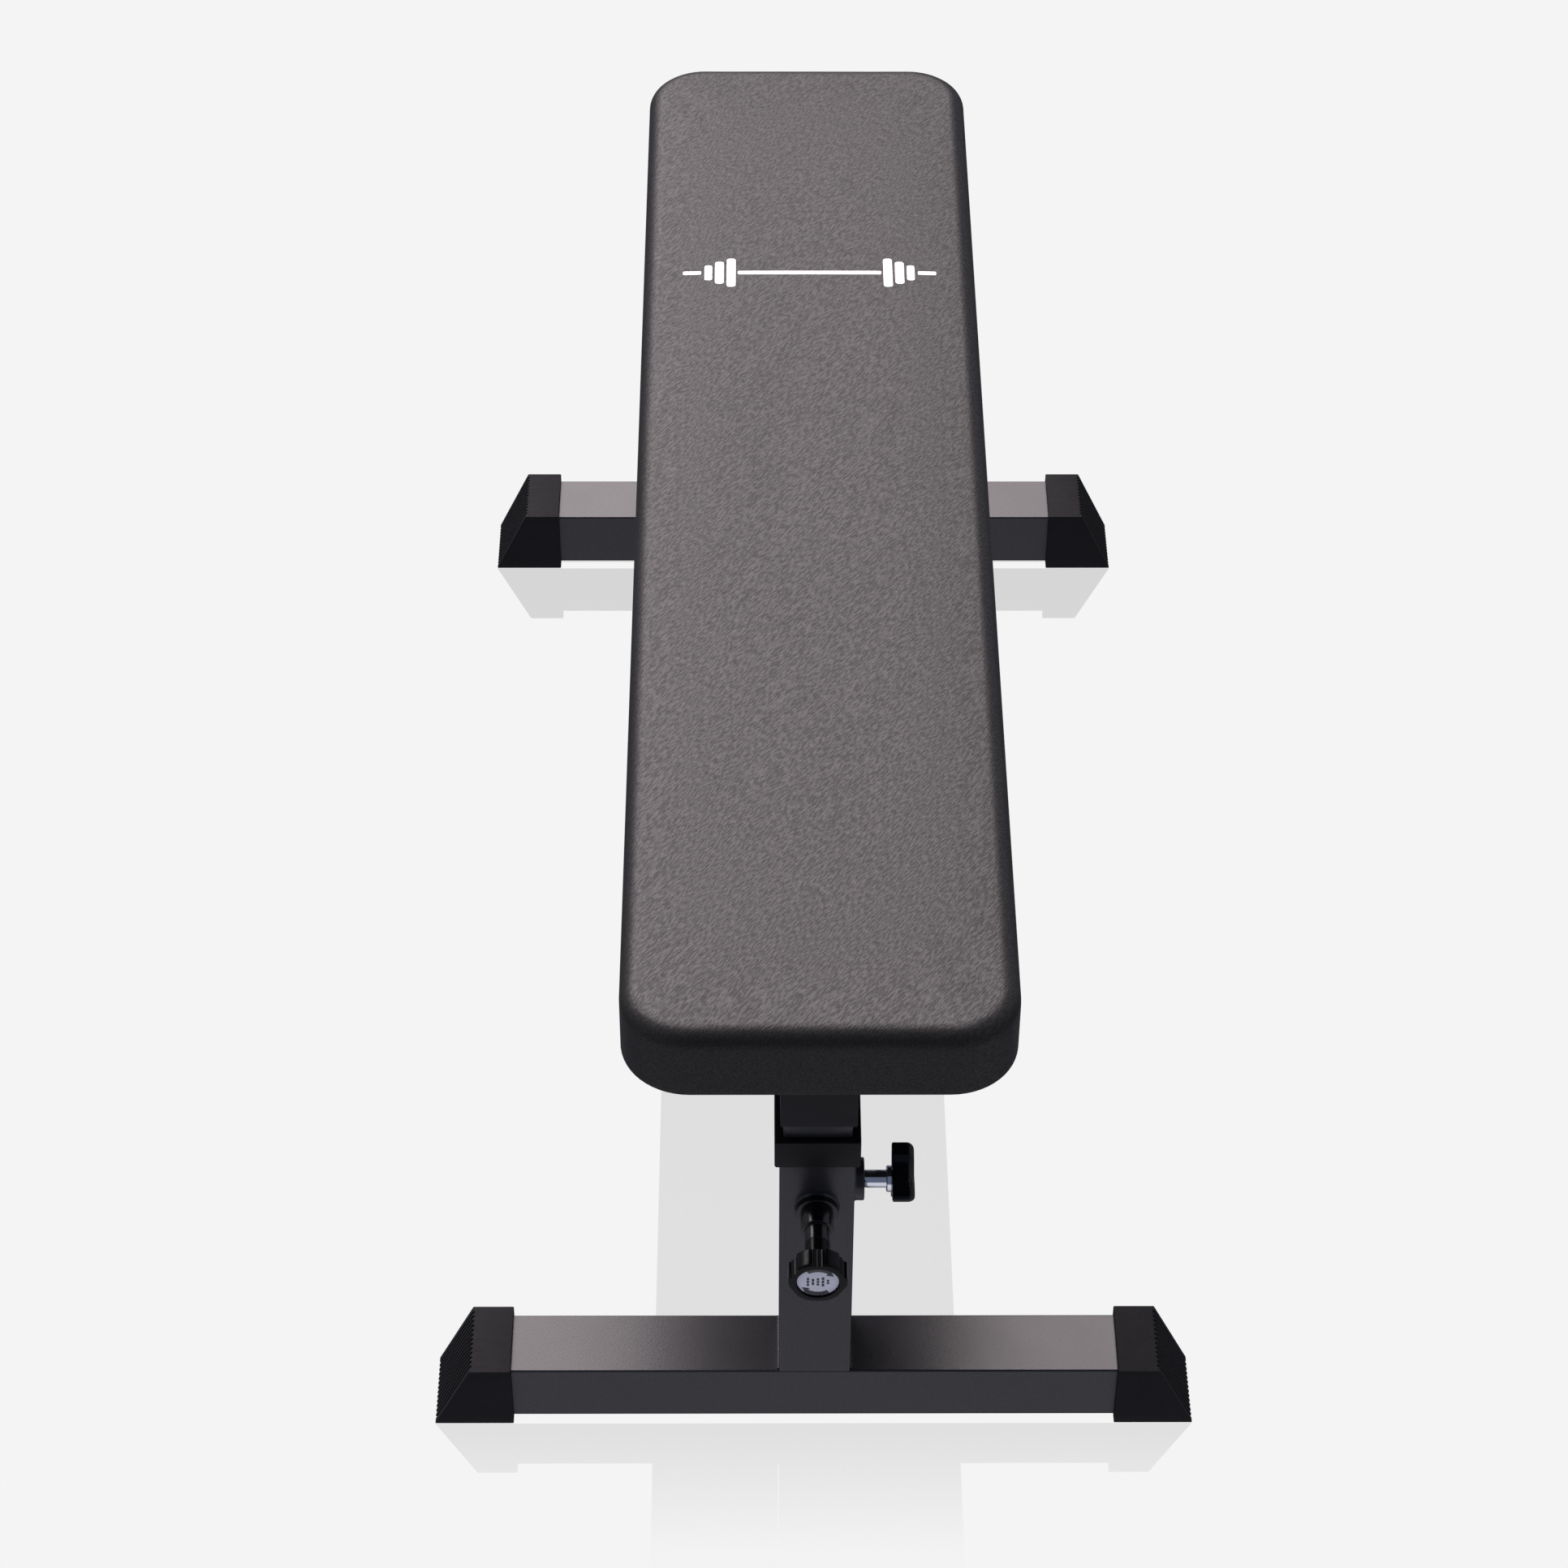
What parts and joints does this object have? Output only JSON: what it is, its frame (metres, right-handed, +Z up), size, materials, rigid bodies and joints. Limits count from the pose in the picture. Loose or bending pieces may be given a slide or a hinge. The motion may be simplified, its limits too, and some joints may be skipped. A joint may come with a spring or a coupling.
{
  "type": "height-adjustable flat weight bench",
  "caption": "Flat weight bench: a long padded board on a beam whose legs telescope in T-shaped bases and are locked by pull pins and clamp screws.",
  "frame": {"origin": "on the floor, midway between the two crossbars, under the middle of the bench", "axes": "+X to the right, +Y along the bench to the rear, +Z up"},
  "size_m": [0.537, 1.104, 0.451],
  "materials": {
    "frame_coat": "satin charcoal powder coat",
    "post_coat": "satin charcoal powder coat",
    "cap_plastic": "matt moulded plastic",
    "sleeve_plastic": "matt moulded plastic",
    "knob_plastic": "gloss moulded plastic",
    "label_print": "satin printed disc",
    "pin_steel": "machined steel",
    "barrel_coat": "satin black coat",
    "screw_chrome": "bright chrome plate",
    "tip_brass": "turned brass",
    "zinc": "zinc plate",
    "plywood": "raw plywood",
    "foam": "open-cell foam",
    "vinyl_top": "fine-grained vinyl",
    "backing_cloth": "non-woven cloth"
  },
  "bodies": {
    "bases": {"front_crossbar": "frame_coat", "front_cap_left": "cap_plastic", "front_cap_right": "cap_plastic", "front_upright": "frame_coat", "front_sleeve": "sleeve_plastic", "front_boss": "barrel_coat", "front_barrel": "barrel_coat", "front_spring": "pin_steel", "front_clamp_nut": "frame_coat", "rear_crossbar": "frame_coat", "rear_cap_left": "cap_plastic", "rear_cap_right": "cap_plastic", "rear_upright": "frame_coat", "rear_sleeve": "sleeve_plastic", "rear_boss": "barrel_coat", "rear_barrel": "barrel_coat", "rear_spring": "pin_steel", "rear_clamp_nut": "frame_coat"},
    "seat_frame": {"front_post": "post_coat", "front_post_plug": "cap_plastic", "rear_post": "post_coat", "rear_post_plug": "cap_plastic", "main_beam": "frame_coat", "beam_cap_front": "cap_plastic", "beam_cap_rear": "cap_plastic", "pad_bracket_front": "frame_coat", "pad_bracket_rear": "frame_coat", "pad_bolts": "zinc", "pad_washers": "zinc", "tee_nuts": "zinc", "pad_board": "plywood", "pad_foam": "foam", "pad_cover": "vinyl_top", "pad_backing": "backing_cloth"},
    "front_pin": {"front_pin": "pin_steel", "front_pin_knob": "knob_plastic", "front_pin_label": "label_print"},
    "rear_pin": {"rear_pin": "pin_steel", "rear_pin_knob": "knob_plastic", "rear_pin_label": "label_print"},
    "front_clamp_tip": {"front_clamp_tip": "tip_brass"},
    "front_clamp_screw": {"front_clamp_screw": "screw_chrome", "front_clamp_knob": "knob_plastic"},
    "rear_clamp_tip": {"rear_clamp_tip": "tip_brass"},
    "rear_clamp_screw": {"rear_clamp_screw": "screw_chrome", "rear_clamp_knob": "knob_plastic"}
  },
  "joints": [
    {"name": "seat_lift", "type": "slide", "parent": "bases", "child": "seat_frame", "axis": [0, 0, 1], "range_m": [0, 0.12]},
    {"name": "front_pin_pull", "type": "slide", "parent": "bases", "child": "front_pin", "axis": [0, -1, 0], "range_m": [0, 0.01], "stiffness_N_per_m": 1000, "springref_m": -0.015, "deforming": ["front_spring"]},
    {"name": "front_clamp_travel", "type": "slide", "parent": "bases", "child": "front_clamp_tip", "axis": [1, 0, 0], "range_m": [0, 0.00525]},
    {"name": "front_clamp_turn", "type": "hinge", "parent": "front_clamp_tip", "child": "front_clamp_screw", "pos_m": [0.04, -0.462, 0.2325], "axis": [1, 0, 0], "range_deg": [0, 1080]},
    {"name": "rear_pin_pull", "type": "slide", "parent": "bases", "child": "rear_pin", "axis": [0, 1, 0], "range_m": [0, 0.01], "stiffness_N_per_m": 1000, "springref_m": -0.015, "deforming": ["rear_spring"]},
    {"name": "rear_clamp_travel", "type": "slide", "parent": "bases", "child": "rear_clamp_tip", "axis": [-1, 0, 0], "range_m": [0, 0.00525]},
    {"name": "rear_clamp_turn", "type": "hinge", "parent": "rear_clamp_tip", "child": "rear_clamp_screw", "pos_m": [-0.04, 0.462, 0.2325], "axis": [-1, 0, 0], "range_deg": [0, 1080]}
  ],
  "couplings": [
    {"joint": "front_clamp_travel", "follows": "front_clamp_turn", "m_per_rad": 0.00027852},
    {"joint": "rear_clamp_travel", "follows": "rear_clamp_turn", "m_per_rad": 0.00027852}
  ]
}
